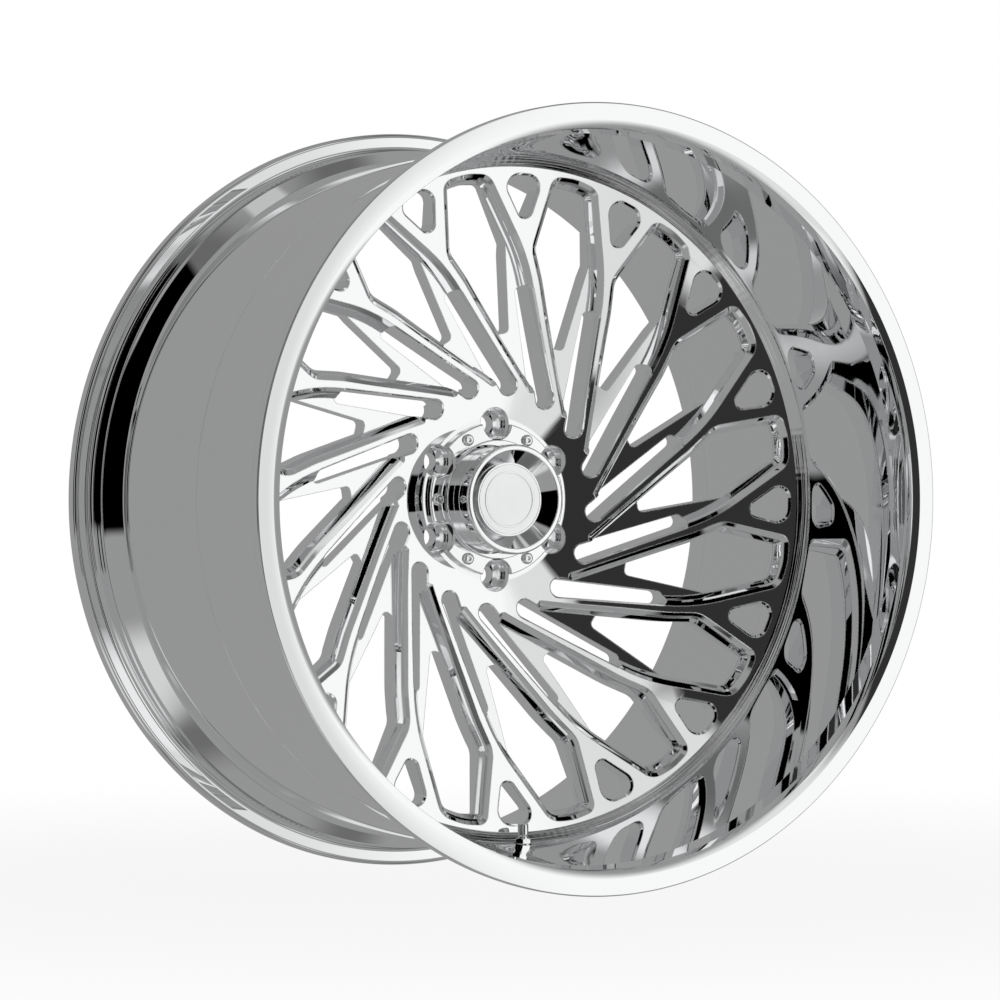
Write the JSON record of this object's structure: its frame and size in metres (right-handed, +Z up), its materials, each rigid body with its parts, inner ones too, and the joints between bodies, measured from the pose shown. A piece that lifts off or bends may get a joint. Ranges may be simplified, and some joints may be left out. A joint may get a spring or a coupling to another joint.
{
  "type": "forged wheel rim",
  "caption": "Deep-lipped chrome forged wheel rim with forked spokes, a bolted centre cap and a tyre valve, for a tyre and a six-stud hub.",
  "frame": {"origin": "on the wheel's axis, half way between the two outer flange faces", "axes": "+Y along the wheel's axis towards the vehicle (inboard), -Y out of the spoked face, +Z up with the tyre valve at the bottom"},
  "size_m": [0.7002, 0.3826, 0.7002],
  "materials": {
    "rim_chrome": "mirror chrome plate over forged aluminium",
    "centre_chrome": "mirror chrome plate over forged aluminium",
    "weld_chrome": "chrome plate over a dressed weld bead",
    "cap_chrome": "mirror chrome plate over turned aluminium",
    "badge_chrome": "polished disc, plain",
    "screw_steel": "chromed steel",
    "valve_chrome": "chrome plate over brass",
    "core_brass": "plain brass",
    "spring_steel": "bright spring wire",
    "black_rubber": "matt black rubber"
  },
  "bodies": {
    "wheel": {"outer_lip": "rim_chrome", "inner_barrel": "rim_chrome", "seam_weld": "weld_chrome", "wheel_centre": "centre_chrome", "face_weld": "weld_chrome", "rear_weld": "weld_chrome", "valve_stem": "valve_chrome", "valve_grommet": "black_rubber", "valve_washer": "valve_chrome", "valve_nut": "valve_chrome", "valve_core_barrel": "core_brass", "valve_core_spring": "spring_steel"},
    "centre_cap": {"cap_body": "cap_chrome", "cap_bezel": "cap_chrome", "cap_badge": "badge_chrome", "cap_seal": "black_rubber"},
    "cap_screw_set": {"cap_screws": "screw_steel"},
    "core_pin": {"valve_core_pin": "core_brass", "valve_core_cup": "black_rubber"},
    "dust_cap": {"valve_cap": "valve_chrome", "valve_cap_seal": "black_rubber"}
  },
  "joints": [
    {"name": "cap_off", "type": "slide", "parent": "wheel", "child": "centre_cap", "axis": [0, -1, 0], "range_m": [0, 0.06]},
    {"name": "screws_out", "type": "slide", "parent": "centre_cap", "child": "cap_screw_set", "axis": [0, -1, 0], "range_m": [0, 0.03]},
    {"name": "core_press", "type": "slide", "parent": "wheel", "child": "core_pin", "axis": [0, 0, -1], "range_m": [0, 0.001], "stiffness_N_per_m": 800, "deforming": ["valve_core_spring"]},
    {"name": "dust_cap_off", "type": "slide", "parent": "wheel", "child": "dust_cap", "axis": [0, 0, 1], "range_m": [0, 0.02]}
  ]
}
